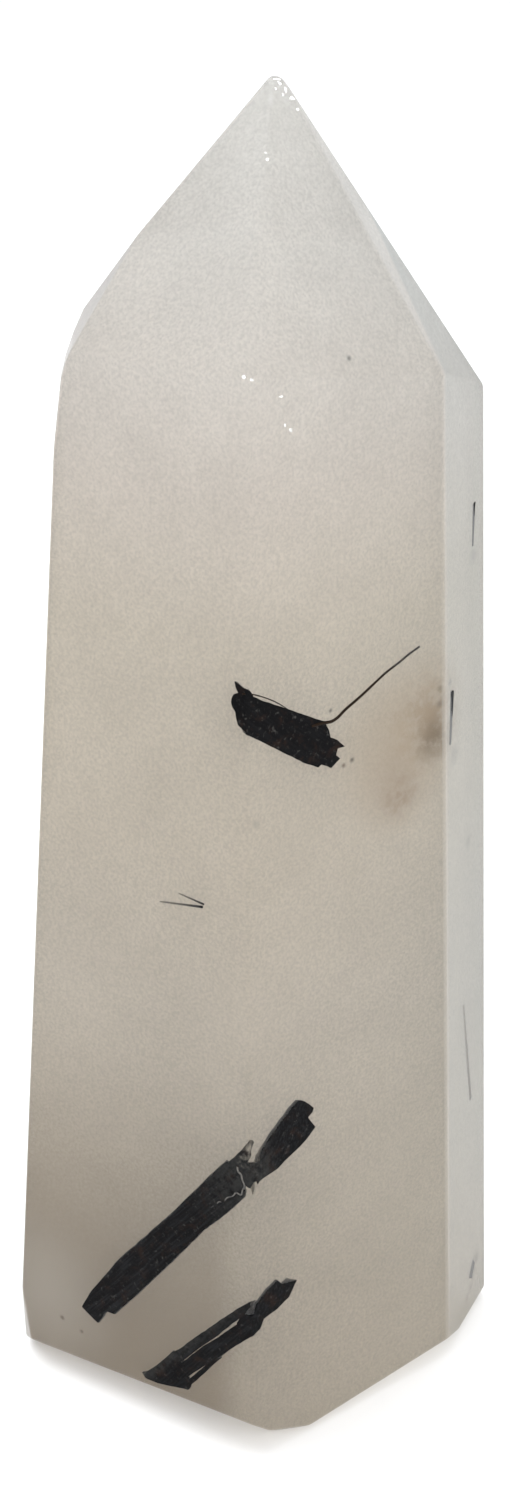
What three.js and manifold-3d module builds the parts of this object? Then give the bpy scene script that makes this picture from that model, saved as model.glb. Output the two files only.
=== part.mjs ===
// A polished six-sided point of milky quartz that stands on its flat foot, with black
// tourmaline crystals grown through it. Millimetres, +Z up, origin under the middle of the foot.
import * as THREE from "three";
import { mergeVertices } from "three/addons/utils/BufferGeometryUtils.js";
import Module from "manifold-3d";

const wasm = await Module();
wasm.setup();

// Driving dimensions
const TIP = new THREE.Vector3(1.14, -0.63, 100.8);
const BLANK = 60; // side of the block that the point is ground from
const WHEEL = 200; // side of the flat lap that grinds each face
const GAP = 0.3; // clearance between the quartz and a crystal in it
const DEGREE = Math.PI / 180;

// Faces of the upright body: compass angle of the face, inward lean, reach from the axis at the foot
const LEFT_FRONT = { azimuth: -121.6, lean: 1.9, reach: 14.34 };
const RIGHT_FRONT = { azimuth: -53.2, lean: 2.2, reach: 13.03 };
const RIGHT = { azimuth: -26.3, lean: 2.6, reach: 16.07 };
const RIGHT_BACK = { azimuth: 42, lean: 1.6, reach: 16.62 };
const BACK = { azimuth: 104, lean: 2.5, reach: 14.13 };
const LEFT_BACK = { azimuth: 168, lean: 4.5, reach: 18.24 };
const WORN_LEFT_CORNER = { azimuth: -160, lean: -4, reach: 19.05 }; // low down at the foot
const BODY_FACES = [LEFT_FRONT, RIGHT_FRONT, RIGHT, RIGHT_BACK, BACK, LEFT_BACK, WORN_LEFT_CORNER];

// Faces of the point, all through the tip
const TIP_FACES = [
  { azimuth: -121.5, lean: 34.9 },
  { azimuth: -49.7, lean: 25.8 },
  { azimuth: -14.5, lean: 30.9 },
  { azimuth: 42, lean: 32.8 },
  { azimuth: 104, lean: 37 },
  { azimuth: 168, lean: 39.5 },
];

// Undercut round the foot: the left front one is the widest
const FOOT_BEVEL_LEAN = -45;
const FOOT_BEVELS = [
  { azimuth: -118.1, reach: 11.02 },
  { azimuth: -78.3, reach: 13.11 }, // worn front corner
  { azimuth: -48.7, reach: 11.96 },
  { azimuth: -26.3, reach: 15.2 },
  { azimuth: 14, reach: 18.75 }, // worn right corner
  { azimuth: 42, reach: 16.12 },
  { azimuth: 104, reach: 13.63 },
  { azimuth: 168, reach: 17.74 },
];

// The left shoulder is rubbed round: small faces that follow an arc over the corner
const SHOULDER = {
  corner: new THREE.Vector3(-13.39, -0.94, 83.45),
  azimuth: -176,
  leanBelow: -0.5,
  leanAbove: 42.4,
  radius: 8.2,
  steps: 4,
};

// The very tip is chipped off
const TIP_CHIP = { azimuth: -70, lean: 62, depth: 0.6 };

const QUARTZ = new THREE.MeshStandardMaterial({
  color: 0xcfc9bf,
  roughness: 0.2,
  metalness: 0,
  transparent: true,
  opacity: 0.6,
});
const TOURMALINE = { color: 0x15140f, roughness: 0.45, metalness: 0 };

/** Outward unit vector of a face from its compass angle and its lean, in degrees. */
function facing(azimuth, lean) {
  const level = Math.cos(lean * DEGREE);
  return new THREE.Vector3(
    Math.cos(azimuth * DEGREE) * level,
    Math.sin(azimuth * DEGREE) * level,
    Math.sin(lean * DEGREE),
  );
}

/** A place on or under a face: `along` to the right of its middle, `up` the face, `depth` inwards. */
function under({ azimuth, lean, reach }, [along, up, depth]) {
  const outward = facing(azimuth, lean);
  const right = facing(azimuth + 90, 0);
  const rise = outward.clone().cross(right);
  return facing(azimuth, 0)
    .multiplyScalar(reach)
    .addScaledVector(right, along)
    .addScaledVector(rise, up)
    .addScaledVector(outward, -depth);
}

/** A closed geometry as a solid that can be joined and cut. */
function solidOf(geometry) {
  const bare = geometry.clone();
  bare.deleteAttribute("normal");
  bare.deleteAttribute("uv");
  const merged = mergeVertices(bare, 1e-5);
  return new wasm.Manifold(
    new wasm.Mesh({
      numProp: 3,
      vertProperties: new Float32Array(merged.attributes.position.array),
      triVerts: new Uint32Array(merged.index.array),
    }),
  );
}

/** A solid as a geometry again. */
function geometryOf(solid) {
  const mesh = solid.getMesh();
  const geometry = new THREE.BufferGeometry();
  geometry.setAttribute("position", new THREE.BufferAttribute(mesh.vertProperties, 3));
  geometry.setIndex(new THREE.BufferAttribute(mesh.triVerts, 1));
  const flat = geometry.toNonIndexed();
  flat.computeVertexNormals();
  return flat;
}

/** Grinds one flat face, `distance` from the origin along its outward vector. */
function grind(solid, outward, distance) {
  const lap = new THREE.BoxGeometry(WHEEL, WHEEL, WHEEL).translate(0, 0, WHEEL / 2 + distance);
  const turn = new THREE.Quaternion().setFromUnitVectors(new THREE.Vector3(0, 0, 1), outward);
  return solid.subtract(solidOf(lap.applyQuaternion(turn)));
}

/** The shoulder's small faces: each touches the arc that rounds the corner. */
function roundShoulder(solid, { corner, azimuth, leanBelow, leanAbove, radius, steps }) {
  const sweep = leanAbove - leanBelow;
  const middle = (leanAbove + leanBelow) / 2;
  const centreToCorner = radius / Math.cos((sweep / 2) * DEGREE);
  let rounded = solid;
  for (let step = 1; step <= steps; step++) {
    const lean = leanBelow + (sweep * step) / (steps + 1);
    const cut = centreToCorner * Math.cos((lean - middle) * DEGREE) - radius;
    const outward = facing(azimuth, lean);
    rounded = grind(rounded, outward, outward.dot(corner) - cut);
  }
  return rounded;
}

/** The quartz point as ground, before it is opened for the crystals in it. */
function groundPoint() {
  const blank = new THREE.BoxGeometry(BLANK, BLANK, 2 * BLANK).translate(0, 0, BLANK);
  let point = solidOf(blank);
  for (const { azimuth, lean, reach } of BODY_FACES) {
    point = grind(point, facing(azimuth, lean), reach * Math.cos(lean * DEGREE));
  }
  for (const { azimuth, lean } of TIP_FACES) {
    const outward = facing(azimuth, lean);
    point = grind(point, outward, outward.dot(TIP));
  }
  for (const { azimuth, reach } of FOOT_BEVELS) {
    const outward = facing(azimuth, FOOT_BEVEL_LEAN);
    point = grind(point, outward, reach * Math.cos(FOOT_BEVEL_LEAN * DEGREE));
  }
  point = roundShoulder(point, SHOULDER);
  const chip = facing(TIP_CHIP.azimuth, TIP_CHIP.lean);
  return grind(point, chip, chip.dot(TIP) - TIP_CHIP.depth);
}

/** Cross-section of a tourmaline crystal: a rounded triangle with fluted sides. */
function crystalSection(radius, sides) {
  const section = new THREE.Shape();
  const corner = 0.08; // how far the three corners stand out
  const flute = sides > 8 ? 0.035 : 0; // depth of the grooves along the sides
  for (let side = 0; side < sides; side++) {
    const angle = (side / sides) * 2 * Math.PI;
    const reach = radius * (1 + corner * Math.cos(3 * angle) + flute * (side % 2 ? -1 : 1));
    const x = reach * Math.cos(angle);
    const y = reach * Math.sin(angle);
    if (side === 0) section.moveTo(x, y);
    else section.lineTo(x, y);
  }
  section.closePath();
  return section;
}

/**
 * A straight crystal between two places under a face. `snag` is how deep its broken ends are
 * bitten, and `grow` makes the roomier body that its pocket is cut with.
 */
function crystal({ face, from, to, radius, sides = 12, snag = 0 }, grow = 0) {
  const start = under(face, from);
  const end = under(face, to);
  const axis = end.clone().sub(start).normalize();
  const length = start.distanceTo(end) + 2 * grow;
  const section = crystalSection(radius + grow, sides);
  const body = new THREE.ExtrudeGeometry(section, { depth: length, bevelEnabled: false });
  const bite = grow > 0 ? 0 : snag;
  const points = body.attributes.position;
  for (let i = 0; i < points.count; i++) {
    const angle = Math.atan2(points.getY(i), points.getX(i));
    const depth = bite * (0.5 + 0.3 * Math.sin(5 * angle + 1) + 0.2 * Math.sin(9 * angle));
    const inward = points.getZ(i) < length / 2 ? 1 : -1;
    points.setZ(i, points.getZ(i) + inward * depth);
  }
  body.applyQuaternion(new THREE.Quaternion().setFromUnitVectors(new THREE.Vector3(0, 0, 1), axis));
  const foot = start.addScaledVector(axis, -grow);
  return solidOf(body.translate(foot.x, foot.y, foot.z));
}

/** A hair-thin crystal along a smooth path under a face. */
function hair({ face, path, radius }, grow = 0) {
  const curve = new THREE.CatmullRomCurve3(path.map((place) => under(face, place)));
  const section = new THREE.Shape().absarc(0, 0, radius + grow, 0, 2 * Math.PI);
  const body = new THREE.ExtrudeGeometry(section, {
    steps: 4 * (path.length - 1),
    curveSegments: 3,
    extrudePath: curve,
    bevelEnabled: false,
  });
  return solidOf(body);
}

// The crystals: straight stretches, or a path, by their places [along, up, depth] under a face
const CRYSTALS = {
  // Stubby crystal along the right front face, ground across the front ridge
  tourmaline_block: {
    rods: [{ face: RIGHT_FRONT, from: [-11, 63.3, 0], to: [-1.55, 57, 0], radius: 1.4, snag: 0.9 }],
  },
  // Long crystal, broken where it passes behind the front ridge
  tourmaline_long_rod: {
    rods: [
      { face: LEFT_FRONT, from: [-7.4, 7.4, 0.3], to: [7.2, 26.2, 0.9], radius: 1.35, snag: 0.5 },
      { face: RIGHT_FRONT, from: [-9.4, 25.1, 1], to: [-4.1, 30, 0.3], radius: 1.15, snag: 0.5 },
    ],
  },
  // Two crystals grown together at the foot, the thicker one bent where it crosses the front ridge
  tourmaline_fork: {
    rods: [
      { face: LEFT_FRONT, from: [0.9, 5.2, 0.3], to: [8.6, 13.6, 0.4], radius: 0.76, sides: 10 },
      { face: RIGHT_FRONT, from: [-10.5, 12.9, 0.4], to: [-6.3, 15, 0.2], radius: 0.95, sides: 10, snag: 0.5 },
      { face: LEFT_FRONT, from: [1.2, 6.7, 0.35], to: [7.8, 14.7, 0.45], radius: 0.42, sides: 8 },
      { face: LEFT_FRONT, from: [-1.5, 4.4, 0.5], to: [2.9, 6.1, 0.5], radius: 0.85, sides: 10, snag: 0.4 },
    ],
  },
  // Crystals in the narrow right face
  tourmaline_side_upper: {
    rods: [{ face: RIGHT, from: [8.66, 71.4, 0.1], to: [8.4, 68, 0.4], radius: 0.3, sides: 8 }],
  },
  tourmaline_side_middle: {
    rods: [{ face: RIGHT, from: [4.15, 58.7, 0.1], to: [3.75, 54.2, 0.5], radius: 0.35, sides: 8 }],
  },
  tourmaline_side_lower: {
    rods: [{ face: RIGHT, from: [7.4, 29.6, 0.3], to: [7.7, 17.5, 0.5], radius: 0.3, sides: 8 }],
  },
  tourmaline_side_foot: {
    rods: [{ face: RIGHT, from: [8.3, 4.2, 0.5], to: [8.9, 6.2, 0.3], radius: 0.4, sides: 8, snag: 0.2 }],
  },
  // Needles that dive in from the left front face
  tourmaline_needle_long: {
    rods: [{ face: LEFT_FRONT, from: [3.4, 46.6, 0.05], to: [-0.65, 45.75, 1.1], radius: 0.16, sides: 6 }],
  },
  tourmaline_needle_short: {
    rods: [{ face: LEFT_FRONT, from: [3.5, 47.1, 0.05], to: [1, 46.95, 0.8], radius: 0.14, sides: 6 }],
  },
  // Hair that leaves the block's upper corner and runs just under the right front face
  tourmaline_hair: {
    hairs: [
      {
        face: RIGHT_FRONT,
        radius: 0.13,
        path: [
          [-1.35, 59.85, 0.22],
          [0.15, 60.5, 0.22],
          [2.1, 61.4, 0.24],
          [3.9, 62.3, 0.3],
          [6.1, 63, 0.4],
        ],
      },
    ],
  },
};

/** One body of all of a crystal's stretches. */
function grown({ rods = [], hairs = [] }, grow) {
  const stretches = [
    ...rods.map((rod) => crystal(rod, grow)),
    ...hairs.map((strand) => hair(strand, grow)),
  ];
  return stretches.reduce((whole, stretch) => whole.add(stretch));
}

const part = new THREE.Group();
const uncut = groundPoint();
let quartz = uncut;

for (const [name, form] of Object.entries(CRYSTALS)) {
  const flush = grown(form, 0).intersect(uncut);
  const mesh = new THREE.Mesh(geometryOf(flush), new THREE.MeshStandardMaterial(TOURMALINE));
  mesh.name = name;
  part.add(mesh);
  quartz = quartz.subtract(grown(form, GAP));
}

const point = new THREE.Mesh(geometryOf(quartz), QUARTZ);
point.name = "quartz_point";
part.add(point);

export default part;
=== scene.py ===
"""Looks of the tourmalinated quartz point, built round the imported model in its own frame.

The quartz is one clear, hazy piece with worn edges and small chips. The black tourmaline
crystals are shards and fluted strands that its polished faces cut flush. Lengths are metres,
and names that end in _mm hold millimetres.
"""

import logging
import math
import random
from dataclasses import dataclass
from enum import Enum
from typing import Callable

import bmesh
import bpy
from mathutils import Matrix, Vector, noise


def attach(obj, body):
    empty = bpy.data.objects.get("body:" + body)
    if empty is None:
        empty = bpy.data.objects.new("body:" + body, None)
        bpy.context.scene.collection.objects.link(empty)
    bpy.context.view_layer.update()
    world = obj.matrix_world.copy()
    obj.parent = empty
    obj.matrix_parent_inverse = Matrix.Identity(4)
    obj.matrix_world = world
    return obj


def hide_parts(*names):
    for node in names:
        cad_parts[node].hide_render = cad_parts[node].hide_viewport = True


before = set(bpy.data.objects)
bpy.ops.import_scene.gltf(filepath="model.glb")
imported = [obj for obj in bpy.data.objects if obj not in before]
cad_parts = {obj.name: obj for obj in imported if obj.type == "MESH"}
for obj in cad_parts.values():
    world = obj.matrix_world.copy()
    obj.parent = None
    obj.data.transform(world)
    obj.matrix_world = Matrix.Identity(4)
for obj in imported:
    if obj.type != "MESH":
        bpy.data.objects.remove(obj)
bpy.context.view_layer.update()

MM = 0.001
BODY = "root"
GRAIN = "grain"  # point attribute: a crystal's own axes, across, across and along
VEIL = "veil"  # point attribute: how far a point lies along two fades, and how deep
# The faces marked turned get a painted shade.
TURNED = "turned"  # face attribute: 1 on the rounded left shoulder
QUARTZ_IOR = 1.544
WELD = 0.001 * MM  # points nearer to each other than this are one point
ON_PLANE = 1e-7  # a point nearer to a cutting plane than this lies on it
NOISE_SEED = 1  # without a seed, Blender takes the clock for its vector noise
log = logging.getLogger("quartz_point")

Socket = bpy.types.NodeSocket
Feed = Socket | Vector | tuple | float  # what a shader's socket is linked from or set to
Shape = bmesh.types.BMesh
Item = bpy.types.Object


class Facet(Enum):
    """Polished faces that crystals reach: compass angle, inward lean, reach from the axis."""

    LEFT_FRONT = (-121.6, 1.9, 14.34)
    RIGHT_FRONT = (-53.2, 2.2, 13.03)
    RIGHT = (-26.3, 2.6, 16.07)

    @property
    def outward(self) -> Vector:
        """Unit vector that points out of the face."""
        azimuth, lean = math.radians(self.value[0]), math.radians(self.value[1])
        level = math.cos(lean)
        return Vector((math.cos(azimuth) * level, math.sin(azimuth) * level, math.sin(lean)))

    @property
    def along(self) -> Vector:
        """Level unit vector in the face, towards the right as it is looked at."""
        azimuth = math.radians(self.value[0])
        return Vector((-math.sin(azimuth), math.cos(azimuth), 0))

    def point(self, along_mm: float, up_mm: float, depth_mm: float = 0) -> Vector:
        """A place on the face or under it.

        Args:
            along_mm: Distance to the right of the point of the foot nearest the axis.
            up_mm: Distance up the face from the foot.
            depth_mm: Depth under the face.

        Returns:
            The place, in metres.
        """
        azimuth, reach = math.radians(self.value[0]), self.value[2]
        foot = Vector((math.cos(azimuth) * reach, math.sin(azimuth) * reach, 0))
        up = self.outward.cross(self.along)
        place = foot + self.along * along_mm + up * up_mm - self.outward * depth_mm
        return place * MM

    def depth(self, place: Vector) -> float:
        """How far a place lies under the face, in metres."""
        return (self.point(0, 0) - place).dot(self.outward)


LEFT, FRONT, SIDE = Facet


@dataclass(frozen=True)
class Noise:
    """Fractal noise: how fine it is, its octaves, and how strong the finer ones are."""

    scale: float
    detail: float
    roughness: float


@dataclass(frozen=True)
class Band:
    """A soft ramp that maps low..high to least..most."""

    low: float
    high: float
    least: float = 0.0
    most: float = 1.0


class Nodes:
    """A short way to write one material's nodes."""

    def __init__(self, name: str) -> None:
        """Starts an empty material of that name."""
        self.material = bpy.data.materials.new(name)
        self.material.use_nodes = True
        self.tree = self.material.node_tree
        self.tree.nodes.clear()
        self.output = self.add("ShaderNodeOutputMaterial")

    def add(self, kind: str, inputs: dict | None = None, **settings: str) -> bpy.types.Node:
        """Adds a node.

        Args:
            kind: Blender's name of the node.
            inputs: Socket name or number to a constant or to the socket that feeds it.
            settings: The node's own properties.

        Returns:
            The node.
        """
        node = self.tree.nodes.new(kind)
        for name, value in settings.items():
            setattr(node, name, value)
        for socket, value in (inputs or {}).items():
            self.feed(node.inputs[socket], value)
        return node

    def feed(self, socket: Socket, value: Feed) -> None:
        """Sets a socket to a constant, or links it to the socket that feeds it."""
        if isinstance(value, Socket):
            self.tree.links.new(value, socket)
        else:
            socket.default_value = value

    def surface(self, inputs: dict) -> None:
        """Gives the material a principled surface."""
        shader = self.add("ShaderNodeBsdfPrincipled", inputs)
        self.feed(self.output.inputs["Surface"], shader.outputs[0])

    def position(self) -> Socket:
        """Object coordinates."""
        return self.add("ShaderNodeTexCoord").outputs["Object"]

    def attribute(self, name: str, output: str = "Vector") -> Socket:
        """A value that the mesh keeps."""
        return self.add("ShaderNodeAttribute", attribute_name=name).outputs[output]

    def split(self, vector: Socket) -> bpy.types.NodeOutputs:
        """The three parts of a vector, by X, Y and Z."""
        return self.add("ShaderNodeSeparateXYZ", {0: vector}).outputs

    def noise(self, vector: Socket, texture: Noise) -> Socket:
        """Fractal noise as a grey value."""
        shape = {"Scale": texture.scale, "Detail": texture.detail, "Roughness": texture.roughness}
        return self.add("ShaderNodeTexNoise", {"Vector": vector, **shape}).outputs["Fac"]

    def band(self, value: Socket, band: Band) -> Socket:
        """Looks a value up on a soft ramp."""
        source = {"Value": value, "From Min": band.low, "From Max": band.high}
        inputs = {**source, "To Min": band.least, "To Max": band.most}
        return self.add("ShaderNodeMapRange", inputs, interpolation_type="SMOOTHSTEP").outputs["Result"]

    def math(self, operation: str, *values: Feed) -> Socket:
        """One step of arithmetic."""
        return self.add("ShaderNodeMath", dict(enumerate(values)), operation=operation).outputs[0]

    def vector(self, operation: str, *values: Feed, output: str = "Vector") -> Socket:
        """One step of arithmetic with vectors."""
        inputs = dict(enumerate(values))
        return self.add("ShaderNodeVectorMath", inputs, operation=operation).outputs[output]

    def near(self, vector: Socket, place: tuple, size: tuple) -> Socket:
        """How near a point is to a place: 1 there, 0 at the edge of an ellipsoid of that size."""
        scaled = self.vector("DIVIDE", self.vector("SUBTRACT", vector, place), size)
        return self.band(self.vector("LENGTH", scaled, output="Value"), Band(1, 0))

    def under(self, vector: Socket, facet: Facet) -> Socket:
        """How far a point lies under a polished face, in metres."""
        reach = self.vector("DOT_PRODUCT", vector, facet.outward, output="Value")
        return self.math("SUBTRACT", facet.point(0, 0).dot(facet.outward), reach)

    def mix(self, factor: Feed, first: Feed, second: Feed) -> Socket:
        """Blends two colours."""
        node = self.add("ShaderNodeMix", data_type="RGBA")
        for socket, value in ((0, factor), (6, first), (7, second)):
            self.feed(node.inputs[socket], value)
        return node.outputs[2]

    def tint(self, factor: Feed, colour: Socket, tint: tuple) -> Socket:
        """Multiplies a colour by a tint, as far as the factor says."""
        return self.mix(factor, colour, self.vector("MULTIPLY", colour, tint))

    def bump(self, height: Socket, strength: float, depth_mm: float) -> Socket:
        """The normal of a surface that a height makes uneven."""
        inputs = {"Height": height, "Strength": strength, "Distance": depth_mm * MM}
        return self.add("ShaderNodeBump", inputs).outputs["Normal"]


@dataclass(frozen=True)
class ColourPatch:
    """A rounded patch of colour, placed by a point of the stone, and cloudy where it is large."""

    place_mm: tuple
    size_mm: tuple
    colour: tuple
    strength: float = 1.0
    cloudy: bool = False
    wisps: Noise = Noise(800, 5, 0.65)
    torn: Band = Band(0.35, 0.62, 0.3)

    def lay(self, nodes: Nodes, vector: Socket, colour: Socket) -> Socket:
        """Lays the patch over a colour.

        Args:
            nodes: The material.
            vector: Where it is looked up.
            colour: The colour that it covers.

        Returns:
            The blended colour.
        """
        place = tuple(value * MM for value in self.place_mm)
        size = tuple(value * MM for value in self.size_mm)
        share = nodes.near(vector, place, size)
        if self.cloudy:
            share = nodes.math("MULTIPLY", share, nodes.band(nodes.noise(vector, self.wisps), self.torn))
        return nodes.mix(nodes.math("MULTIPLY", share, self.strength), colour, (*self.colour, 1))


def spot(facet: Facet, place_mm: tuple, size_mm: float, colour: tuple, **more: float) -> ColourPatch:
    """A round patch of colour on a face."""
    place = facet.point(*place_mm) / MM
    return ColourPatch(tuple(place), (size_mm, size_mm, size_mm), colour, **more)


@dataclass(frozen=True)
class MilkyQuartz:
    """Polished quartz: hazy all through, pale at the point, warm grey towards the foot."""

    haze: float = 150.0
    haze_colour: tuple = (1.0, 0.995, 0.985, 1)
    clearness: float = 1.0
    roughness: float = 0.25
    gloss: tuple = (0.5, 0.5, 0.5, 1)
    heights_mm: tuple = (0, 20, 38, 50, 66, 76, 86, 100)
    colours: tuple = (
        (0.47, 0.41, 0.325, 1),
        (0.475, 0.42, 0.34, 1),
        (0.5, 0.445, 0.37, 1),
        (0.51, 0.45, 0.365, 1),
        (0.55, 0.49, 0.4, 1),
        (0.61, 0.55, 0.485, 1),
        (0.68, 0.645, 0.595, 1),
        (0.78, 0.77, 0.73, 1),
    )
    clouds: Noise = Noise(110, 3, 0.55)
    cloudiness: Band = Band(0.25, 0.75, 0.93, 1.07)
    grain: Noise = Noise(4500, 2, 0.6)
    graininess: Band = Band(0.25, 0.75, 0.86, 1.14)
    # The left front face gets a painted shade that darkens towards the foot, by how much deeper a point is
    # under the right one.
    shade: tuple = (0.26, 0.205, 0.145, 1)
    shade_side: Band = Band(-1.0 * MM, 4.0 * MM)
    shade_height: Band = Band(36 * MM, 6 * MM)
    # The narrow right face gets a painted shade, darker and a little cooler, by how much deeper a point is
    # under the right front one.
    right_face_shade: tuple = (0.73, 0.78, 0.8)
    right_face_shade_side: Band = Band(0, 0.3 * MM)
    right_face_shade_height: Band = Band(4 * MM, 22 * MM, 0.55)
    # A painted highlight runs along the ridge between those two, by the sum of the depths under both.
    edge_wear_and_sheen: tuple = (0.8, 0.75, 0.68, 1)
    ridge_sheen_reach: Band = Band(0.17 * MM, 0.09 * MM)
    ridge_sheen_height: Band = Band(78 * MM, 50 * MM, 0.06, 0.34)
    # Painted shade on the faces that round the left shoulder.
    rounded: tuple = (0.58, 0.555, 0.535)
    # Stains and specks of the stone, with a painted pool of light on the left front face and white patches
    # at the point.
    stains_and_light: tuple = (
        spot(FRONT, (4.2, 56.5), 8.0, (0.4, 0.29, 0.18), strength=0.65),
        spot(FRONT, (3.8, 53.2), 5.0, (0.34, 0.24, 0.16), strength=0.5),
        spot(FRONT, (7.4, 57.6), 5.6, (0.26, 0.155, 0.07), strength=0.8, cloudy=True),
        spot(FRONT, (7.4, 55.9), 2.6, (0.09, 0.05, 0.018), strength=0.9, cloudy=True),
        spot(FRONT, (4.3, 52.2), 2.8, (0.26, 0.17, 0.105), strength=0.8, cloudy=True),
        # A painted pool of light low at the left of the left front face, lifting the painted shade there.
        spot(LEFT, (-11.5, 8), 9.0, (0.5, 0.46, 0.4), strength=0.65),
        spot(FRONT, (7.9, 58.35), 0.5, (0.08, 0.045, 0.025), strength=0.8),
        spot(FRONT, (7.9, 59.5), 0.4, (0.1, 0.07, 0.04), strength=0.7),
        spot(SIDE, (3.6, 59.5), 0.5, (0.12, 0.1, 0.085), strength=0.6),
        spot(SIDE, (4.4, 53.6), 1.6, (0.26, 0.22, 0.19), strength=0.6, cloudy=True),
        spot(SIDE, (7.4, 45.1), 0.9, (0.22, 0.18, 0.15), strength=0.5),
        spot(SIDE, (8.4, 67.4), 1.1, (0.26, 0.24, 0.22), strength=0.5),
        spot(SIDE, (8.9, 4.9), 1.7, (0.13, 0.08, 0.05), strength=0.85, cloudy=True),
        spot(SIDE, (7.9, 3.2), 0.8, (0.2, 0.14, 0.1), strength=0.6),
        spot(SIDE, (7.1, 2.7), 0.7, (0.2, 0.14, 0.1), strength=0.6),
        spot(FRONT, (-0.1, 56.25), 0.32, (0.015, 0.01, 0.008)),
        spot(FRONT, (-0.85, 56.05), 0.3, (0.08, 0.05, 0.03)),
        spot(FRONT, (-1.95, 60.4), 0.25, (0.08, 0.07, 0.06)),
        spot(FRONT, (-8.4, 53.85), 0.5, (0.3, 0.27, 0.23), strength=0.5),
        spot(LEFT, (-9.7, 6.0), 0.35, (0.06, 0.035, 0.02), strength=0.8),
        spot(LEFT, (-7.8, 5.45), 0.3, (0.05, 0.03, 0.02), strength=0.8),
        ColourPatch((5.77, -7.45, 83.9), (0.3, 0.3, 0.3), (0.06, 0.06, 0.055)),
        # White at the broken point and down its front ridge: partly the white of bruised quartz, partly
        # painted glints.
        ColourPatch((1.75, -1.1, 99.5), (1.1, 0.9, 1.3), (1, 1, 1), strength=0.6, cloudy=True),
        ColourPatch((0.75, -1.9, 99.3), (0.3, 0.5, 1.0), (1, 1, 1), strength=0.7),
        ColourPatch((0.4, -3.1, 98.0), (0.28, 0.5, 0.8), (1, 1, 1), strength=0.7, cloudy=True),
        ColourPatch((0.3, -3.9, 96.9), (0.25, 0.4, 0.7), (1, 1, 1), strength=0.6, cloudy=True),
    )

    def body(self, nodes: Nodes, place: Socket, height: Socket) -> Socket:
        """The colour by height, a little cloudy and with a fine grain."""
        top = self.heights_mm[-1]
        ramp = nodes.add("ShaderNodeValToRGB", {0: nodes.math("DIVIDE", height, top * MM)})
        stops = ramp.color_ramp.elements
        for stop_mm in self.heights_mm[1:-1]:
            stops.new(stop_mm / top)
        for stop, colour in zip(stops, self.colours):
            stop.color = colour
        clouds = nodes.band(nodes.noise(place, self.clouds), self.cloudiness)
        grain = nodes.band(nodes.noise(place, self.grain), self.graininess)
        inputs = {0: ramp.outputs[0], "Scale": nodes.math("MULTIPLY", clouds, grain)}
        return nodes.add("ShaderNodeVectorMath", inputs, operation="SCALE").outputs[0]

    def colour(self, nodes: Nodes, place: Socket) -> Socket:
        """The whole surface colour."""
        height = nodes.split(place)["Z"]
        left, front, side = (nodes.under(place, facet) for facet in Facet)
        # Painted shade on the left front face, deepening towards the foot.
        lean = nodes.band(nodes.math("SUBTRACT", front, left), self.shade_side)
        low = nodes.band(height, self.shade_height)
        colour = nodes.mix(nodes.math("MULTIPLY", lean, low), self.body(nodes, place, height), self.shade)
        for colour_patch in self.stains_and_light:
            colour = colour_patch.lay(nodes, place, colour)
        # Painted shade, a little cool, on the narrow right face.
        beside = nodes.band(nodes.math("SUBTRACT", front, side), self.right_face_shade_side)
        above = nodes.band(height, self.right_face_shade_height)
        colour = nodes.tint(nodes.math("MULTIPLY", beside, above), colour, self.right_face_shade)
        # Painted shade on the faces that round the left shoulder.
        colour = nodes.tint(nodes.attribute(TURNED, "Fac"), colour, self.rounded)
        # Painted highlight along the ridge between the right front face and the narrow right face.
        ridge = nodes.band(nodes.math("ADD", front, side), self.ridge_sheen_reach)
        clear = nodes.band(height, self.ridge_sheen_height)
        return nodes.mix(nodes.math("MULTIPLY", ridge, clear), colour, self.edge_wear_and_sheen)

    def build(self) -> bpy.types.Material:
        """Makes the material."""
        nodes = Nodes("milky_quartz")
        nodes.surface(
            {
                "Base Color": self.colour(nodes, nodes.position()),
                "Roughness": self.roughness,
                "Specular Tint": self.gloss,
                "IOR": QUARTZ_IOR,
                "Transmission Weight": self.clearness,
            }
        )
        scatter = nodes.add("ShaderNodeVolumeScatter", {"Color": self.haze_colour, "Density": self.haze})
        nodes.feed(nodes.output.inputs["Volume"], scatter.outputs[0])
        return nodes.material


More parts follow.
